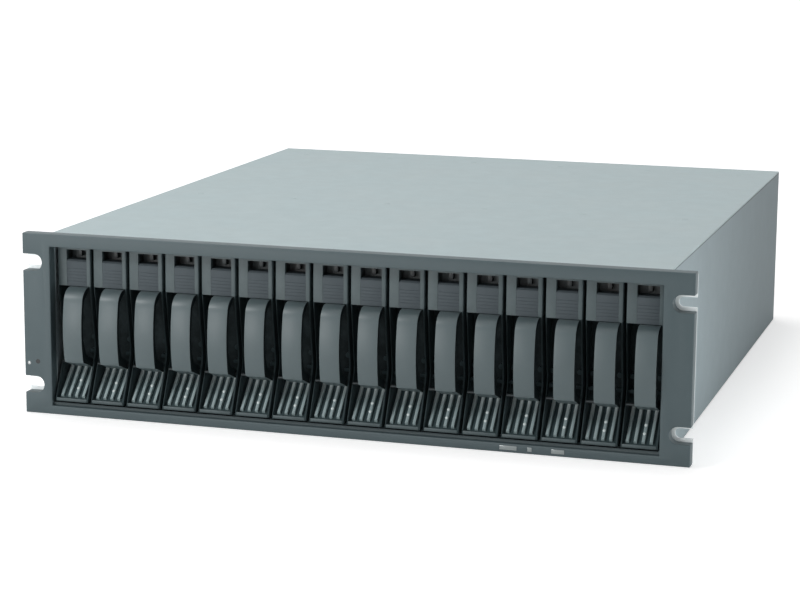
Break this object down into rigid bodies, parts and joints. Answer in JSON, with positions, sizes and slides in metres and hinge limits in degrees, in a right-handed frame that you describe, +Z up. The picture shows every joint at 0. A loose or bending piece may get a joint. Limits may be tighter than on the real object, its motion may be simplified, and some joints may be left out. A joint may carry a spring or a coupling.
{
  "type": "disk shelf enclosure",
  "caption": "Rack-mounted disk shelf with upright sliding drive carriers, bowed pull handles, a slotted-ear bezel, power supplies and controllers behind.",
  "frame": {"origin": "middle of the four rack slots, on the rear face of the rack ears", "axes": "+Z up, +Y from the front panel towards the rear, +X to the right seen from the front"},
  "size_m": [0.4826, 0.5337, 0.131],
  "materials": {
    "body_steel": "pale grey-green powder coat",
    "cover_steel": "pale grey-green powder coat",
    "bezel_plastic": "dark slate moulded plastic",
    "circuit_board": "green laminate",
    "carrier_assembly": "dark moulded front on a metal sled with the disk drive",
    "latch_plastic": "dark grip-lined plastic",
    "handle_plastic": "slate satin plastic",
    "module_steel": "plain zinc-grey sheet metal",
    "lever_plastic": "dark plastic",
    "fan_plastic": "black plastic"
  },
  "bodies": {
    "enclosure": {"chassis": "body_steel", "top_cover": "cover_steel", "front_bezel": "bezel_plastic", "midplane": "circuit_board"},
    "drive_carrier_01": {"drive_carrier_01": "carrier_assembly"},
    "carrier_latch_01": {"carrier_latch_01": "latch_plastic"},
    "carrier_handle_01": {"carrier_handle_01": "handle_plastic"},
    "drive_carrier_02": {"drive_carrier_02": "carrier_assembly"},
    "carrier_latch_02": {"carrier_latch_02": "latch_plastic"},
    "carrier_handle_02": {"carrier_handle_02": "handle_plastic"},
    "drive_carrier_03": {"drive_carrier_03": "carrier_assembly"},
    "carrier_latch_03": {"carrier_latch_03": "latch_plastic"},
    "carrier_handle_03": {"carrier_handle_03": "handle_plastic"},
    "drive_carrier_04": {"drive_carrier_04": "carrier_assembly"},
    "carrier_latch_04": {"carrier_latch_04": "latch_plastic"},
    "carrier_handle_04": {"carrier_handle_04": "handle_plastic"},
    "drive_carrier_05": {"drive_carrier_05": "carrier_assembly"},
    "carrier_latch_05": {"carrier_latch_05": "latch_plastic"},
    "carrier_handle_05": {"carrier_handle_05": "handle_plastic"},
    "drive_carrier_06": {"drive_carrier_06": "carrier_assembly"},
    "carrier_latch_06": {"carrier_latch_06": "latch_plastic"},
    "carrier_handle_06": {"carrier_handle_06": "handle_plastic"},
    "drive_carrier_07": {"drive_carrier_07": "carrier_assembly"},
    "carrier_latch_07": {"carrier_latch_07": "latch_plastic"},
    "carrier_handle_07": {"carrier_handle_07": "handle_plastic"},
    "drive_carrier_08": {"drive_carrier_08": "carrier_assembly"},
    "carrier_latch_08": {"carrier_latch_08": "latch_plastic"},
    "carrier_handle_08": {"carrier_handle_08": "handle_plastic"},
    "drive_carrier_09": {"drive_carrier_09": "carrier_assembly"},
    "carrier_latch_09": {"carrier_latch_09": "latch_plastic"},
    "carrier_handle_09": {"carrier_handle_09": "handle_plastic"},
    "drive_carrier_10": {"drive_carrier_10": "carrier_assembly"},
    "carrier_latch_10": {"carrier_latch_10": "latch_plastic"},
    "carrier_handle_10": {"carrier_handle_10": "handle_plastic"},
    "drive_carrier_11": {"drive_carrier_11": "carrier_assembly"},
    "carrier_latch_11": {"carrier_latch_11": "latch_plastic"},
    "carrier_handle_11": {"carrier_handle_11": "handle_plastic"},
    "drive_carrier_12": {"drive_carrier_12": "carrier_assembly"},
    "carrier_latch_12": {"carrier_latch_12": "latch_plastic"},
    "carrier_handle_12": {"carrier_handle_12": "handle_plastic"},
    "drive_carrier_13": {"drive_carrier_13": "carrier_assembly"},
    "carrier_latch_13": {"carrier_latch_13": "latch_plastic"},
    "carrier_handle_13": {"carrier_handle_13": "handle_plastic"},
    "drive_carrier_14": {"drive_carrier_14": "carrier_assembly"},
    "carrier_latch_14": {"carrier_latch_14": "latch_plastic"},
    "carrier_handle_14": {"carrier_handle_14": "handle_plastic"},
    "drive_carrier_15": {"drive_carrier_15": "carrier_assembly"},
    "carrier_latch_15": {"carrier_latch_15": "latch_plastic"},
    "carrier_handle_15": {"carrier_handle_15": "handle_plastic"},
    "drive_carrier_16": {"drive_carrier_16": "carrier_assembly"},
    "carrier_latch_16": {"carrier_latch_16": "latch_plastic"},
    "carrier_handle_16": {"carrier_handle_16": "handle_plastic"},
    "power_supply_right": {"power_supply_right": "module_steel"},
    "supply_lever_right": {"supply_lever_right": "lever_plastic"},
    "supply_fan_right": {"supply_fan_right": "fan_plastic"},
    "power_supply_left": {"power_supply_left": "module_steel"},
    "supply_lever_left": {"supply_lever_left": "lever_plastic"},
    "supply_fan_left": {"supply_fan_left": "fan_plastic"},
    "controller_upper": {"controller_upper": "module_steel"},
    "controller_lower": {"controller_lower": "module_steel"}
  },
  "joints": [
    {"name": "carrier_slide_01", "type": "slide", "parent": "enclosure", "child": "drive_carrier_01", "axis": [0, -1, 0], "range_m": [0, 0.2]},
    {"name": "latch_slide_01", "type": "slide", "parent": "drive_carrier_01", "child": "carrier_latch_01", "axis": [0, 0, 1], "range_m": [0, 0.005], "stiffness_N_per_m": 150, "springref_m": -0.003},
    {"name": "handle_swing_01", "type": "hinge", "parent": "drive_carrier_01", "child": "carrier_handle_01", "pos_m": [-0.20625, 0.004, -0.0289], "axis": [1, 0, 0], "range_deg": [0, 70]},
    {"name": "carrier_slide_02", "type": "slide", "parent": "enclosure", "child": "drive_carrier_02", "axis": [0, -1, 0], "range_m": [0, 0.2]},
    {"name": "latch_slide_02", "type": "slide", "parent": "drive_carrier_02", "child": "carrier_latch_02", "axis": [0, 0, 1], "range_m": [0, 0.005], "stiffness_N_per_m": 150, "springref_m": -0.003},
    {"name": "handle_swing_02", "type": "hinge", "parent": "drive_carrier_02", "child": "carrier_handle_02", "pos_m": [-0.17875, 0.004, -0.0289], "axis": [1, 0, 0], "range_deg": [0, 70]},
    {"name": "carrier_slide_03", "type": "slide", "parent": "enclosure", "child": "drive_carrier_03", "axis": [0, -1, 0], "range_m": [0, 0.2]},
    {"name": "latch_slide_03", "type": "slide", "parent": "drive_carrier_03", "child": "carrier_latch_03", "axis": [0, 0, 1], "range_m": [0, 0.005], "stiffness_N_per_m": 150, "springref_m": -0.003},
    {"name": "handle_swing_03", "type": "hinge", "parent": "drive_carrier_03", "child": "carrier_handle_03", "pos_m": [-0.15125, 0.004, -0.0289], "axis": [1, 0, 0], "range_deg": [0, 70]},
    {"name": "carrier_slide_04", "type": "slide", "parent": "enclosure", "child": "drive_carrier_04", "axis": [0, -1, 0], "range_m": [0, 0.2]},
    {"name": "latch_slide_04", "type": "slide", "parent": "drive_carrier_04", "child": "carrier_latch_04", "axis": [0, 0, 1], "range_m": [0, 0.005], "stiffness_N_per_m": 150, "springref_m": -0.003},
    {"name": "handle_swing_04", "type": "hinge", "parent": "drive_carrier_04", "child": "carrier_handle_04", "pos_m": [-0.12375, 0.004, -0.0289], "axis": [1, 0, 0], "range_deg": [0, 70]},
    {"name": "carrier_slide_05", "type": "slide", "parent": "enclosure", "child": "drive_carrier_05", "axis": [0, -1, 0], "range_m": [0, 0.2]},
    {"name": "latch_slide_05", "type": "slide", "parent": "drive_carrier_05", "child": "carrier_latch_05", "axis": [0, 0, 1], "range_m": [0, 0.005], "stiffness_N_per_m": 150, "springref_m": -0.003},
    {"name": "handle_swing_05", "type": "hinge", "parent": "drive_carrier_05", "child": "carrier_handle_05", "pos_m": [-0.09625, 0.004, -0.0289], "axis": [1, 0, 0], "range_deg": [0, 70]},
    {"name": "carrier_slide_06", "type": "slide", "parent": "enclosure", "child": "drive_carrier_06", "axis": [0, -1, 0], "range_m": [0, 0.2]},
    {"name": "latch_slide_06", "type": "slide", "parent": "drive_carrier_06", "child": "carrier_latch_06", "axis": [0, 0, 1], "range_m": [0, 0.005], "stiffness_N_per_m": 150, "springref_m": -0.003},
    {"name": "handle_swing_06", "type": "hinge", "parent": "drive_carrier_06", "child": "carrier_handle_06", "pos_m": [-0.06875, 0.004, -0.0289], "axis": [1, 0, 0], "range_deg": [0, 70]},
    {"name": "carrier_slide_07", "type": "slide", "parent": "enclosure", "child": "drive_carrier_07", "axis": [0, -1, 0], "range_m": [0, 0.2]},
    {"name": "latch_slide_07", "type": "slide", "parent": "drive_carrier_07", "child": "carrier_latch_07", "axis": [0, 0, 1], "range_m": [0, 0.005], "stiffness_N_per_m": 150, "springref_m": -0.003},
    {"name": "handle_swing_07", "type": "hinge", "parent": "drive_carrier_07", "child": "carrier_handle_07", "pos_m": [-0.04125, 0.004, -0.0289], "axis": [1, 0, 0], "range_deg": [0, 70]},
    {"name": "carrier_slide_08", "type": "slide", "parent": "enclosure", "child": "drive_carrier_08", "axis": [0, -1, 0], "range_m": [0, 0.2]},
    {"name": "latch_slide_08", "type": "slide", "parent": "drive_carrier_08", "child": "carrier_latch_08", "axis": [0, 0, 1], "range_m": [0, 0.005], "stiffness_N_per_m": 150, "springref_m": -0.003},
    {"name": "handle_swing_08", "type": "hinge", "parent": "drive_carrier_08", "child": "carrier_handle_08", "pos_m": [-0.01375, 0.004, -0.0289], "axis": [1, 0, 0], "range_deg": [0, 70]},
    {"name": "carrier_slide_09", "type": "slide", "parent": "enclosure", "child": "drive_carrier_09", "axis": [0, -1, 0], "range_m": [0, 0.2]},
    {"name": "latch_slide_09", "type": "slide", "parent": "drive_carrier_09", "child": "carrier_latch_09", "axis": [0, 0, 1], "range_m": [0, 0.005], "stiffness_N_per_m": 150, "springref_m": -0.003},
    {"name": "handle_swing_09", "type": "hinge", "parent": "drive_carrier_09", "child": "carrier_handle_09", "pos_m": [0.01375, 0.004, -0.0289], "axis": [1, 0, 0], "range_deg": [0, 70]},
    {"name": "carrier_slide_10", "type": "slide", "parent": "enclosure", "child": "drive_carrier_10", "axis": [0, -1, 0], "range_m": [0, 0.2]},
    {"name": "latch_slide_10", "type": "slide", "parent": "drive_carrier_10", "child": "carrier_latch_10", "axis": [0, 0, 1], "range_m": [0, 0.005], "stiffness_N_per_m": 150, "springref_m": -0.003},
    {"name": "handle_swing_10", "type": "hinge", "parent": "drive_carrier_10", "child": "carrier_handle_10", "pos_m": [0.04125, 0.004, -0.0289], "axis": [1, 0, 0], "range_deg": [0, 70]},
    {"name": "carrier_slide_11", "type": "slide", "parent": "enclosure", "child": "drive_carrier_11", "axis": [0, -1, 0], "range_m": [0, 0.2]},
    {"name": "latch_slide_11", "type": "slide", "parent": "drive_carrier_11", "child": "carrier_latch_11", "axis": [0, 0, 1], "range_m": [0, 0.005], "stiffness_N_per_m": 150, "springref_m": -0.003},
    {"name": "handle_swing_11", "type": "hinge", "parent": "drive_carrier_11", "child": "carrier_handle_11", "pos_m": [0.06875, 0.004, -0.0289], "axis": [1, 0, 0], "range_deg": [0, 70]},
    {"name": "carrier_slide_12", "type": "slide", "parent": "enclosure", "child": "drive_carrier_12", "axis": [0, -1, 0], "range_m": [0, 0.2]},
    {"name": "latch_slide_12", "type": "slide", "parent": "drive_carrier_12", "child": "carrier_latch_12", "axis": [0, 0, 1], "range_m": [0, 0.005], "stiffness_N_per_m": 150, "springref_m": -0.003},
    {"name": "handle_swing_12", "type": "hinge", "parent": "drive_carrier_12", "child": "carrier_handle_12", "pos_m": [0.09625, 0.004, -0.0289], "axis": [1, 0, 0], "range_deg": [0, 70]},
    {"name": "carrier_slide_13", "type": "slide", "parent": "enclosure", "child": "drive_carrier_13", "axis": [0, -1, 0], "range_m": [0, 0.2]},
    {"name": "latch_slide_13", "type": "slide", "parent": "drive_carrier_13", "child": "carrier_latch_13", "axis": [0, 0, 1], "range_m": [0, 0.005], "stiffness_N_per_m": 150, "springref_m": -0.003},
    {"name": "handle_swing_13", "type": "hinge", "parent": "drive_carrier_13", "child": "carrier_handle_13", "pos_m": [0.12375, 0.004, -0.0289], "axis": [1, 0, 0], "range_deg": [0, 70]},
    {"name": "carrier_slide_14", "type": "slide", "parent": "enclosure", "child": "drive_carrier_14", "axis": [0, -1, 0], "range_m": [0, 0.2]},
    {"name": "latch_slide_14", "type": "slide", "parent": "drive_carrier_14", "child": "carrier_latch_14", "axis": [0, 0, 1], "range_m": [0, 0.005], "stiffness_N_per_m": 150, "springref_m": -0.003},
    {"name": "handle_swing_14", "type": "hinge", "parent": "drive_carrier_14", "child": "carrier_handle_14", "pos_m": [0.15125, 0.004, -0.0289], "axis": [1, 0, 0], "range_deg": [0, 70]},
    {"name": "carrier_slide_15", "type": "slide", "parent": "enclosure", "child": "drive_carrier_15", "axis": [0, -1, 0], "range_m": [0, 0.2]},
    {"name": "latch_slide_15", "type": "slide", "parent": "drive_carrier_15", "child": "carrier_latch_15", "axis": [0, 0, 1], "range_m": [0, 0.005], "stiffness_N_per_m": 150, "springref_m": -0.003},
    {"name": "handle_swing_15", "type": "hinge", "parent": "drive_carrier_15", "child": "carrier_handle_15", "pos_m": [0.17875, 0.004, -0.0289], "axis": [1, 0, 0], "range_deg": [0, 70]},
    {"name": "carrier_slide_16", "type": "slide", "parent": "enclosure", "child": "drive_carrier_16", "axis": [0, -1, 0], "range_m": [0, 0.2]},
    {"name": "latch_slide_16", "type": "slide", "parent": "drive_carrier_16", "child": "carrier_latch_16", "axis": [0, 0, 1], "range_m": [0, 0.005], "stiffness_N_per_m": 150, "springref_m": -0.003},
    {"name": "handle_swing_16", "type": "hinge", "parent": "drive_carrier_16", "child": "carrier_handle_16", "pos_m": [0.20625, 0.004, -0.0289], "axis": [1, 0, 0], "range_deg": [0, 70]},
    {"name": "supply_slide_right", "type": "slide", "parent": "enclosure", "child": "power_supply_right", "axis": [0, 1, 0], "range_m": [0, 0.28]},
    {"name": "lever_swing_right", "type": "hinge", "parent": "power_supply_right", "child": "supply_lever_right", "pos_m": [0.2093, 0.5022, -0.052], "axis": [-1, 0, 0], "range_deg": [0, 80]},
    {"name": "fan_spin_right", "type": "hinge", "parent": "power_supply_right", "child": "supply_fan_right", "pos_m": [0.1783, 0.475, 0.022], "axis": [0, 1, 0], "continuous": true},
    {"name": "supply_slide_left", "type": "slide", "parent": "enclosure", "child": "power_supply_left", "axis": [0, 1, 0], "range_m": [0, 0.28]},
    {"name": "lever_swing_left", "type": "hinge", "parent": "power_supply_left", "child": "supply_lever_left", "pos_m": [-0.2093, 0.5022, -0.052], "axis": [-1, 0, 0], "range_deg": [0, 80]},
    {"name": "fan_spin_left", "type": "hinge", "parent": "power_supply_left", "child": "supply_fan_left", "pos_m": [-0.1783, 0.475, 0.022], "axis": [0, 1, 0], "continuous": true},
    {"name": "controller_slide_upper", "type": "slide", "parent": "enclosure", "child": "controller_upper", "axis": [0, 1, 0], "range_m": [0, 0.27]},
    {"name": "controller_slide_lower", "type": "slide", "parent": "enclosure", "child": "controller_lower", "axis": [0, 1, 0], "range_m": [0, 0.27]}
  ]
}
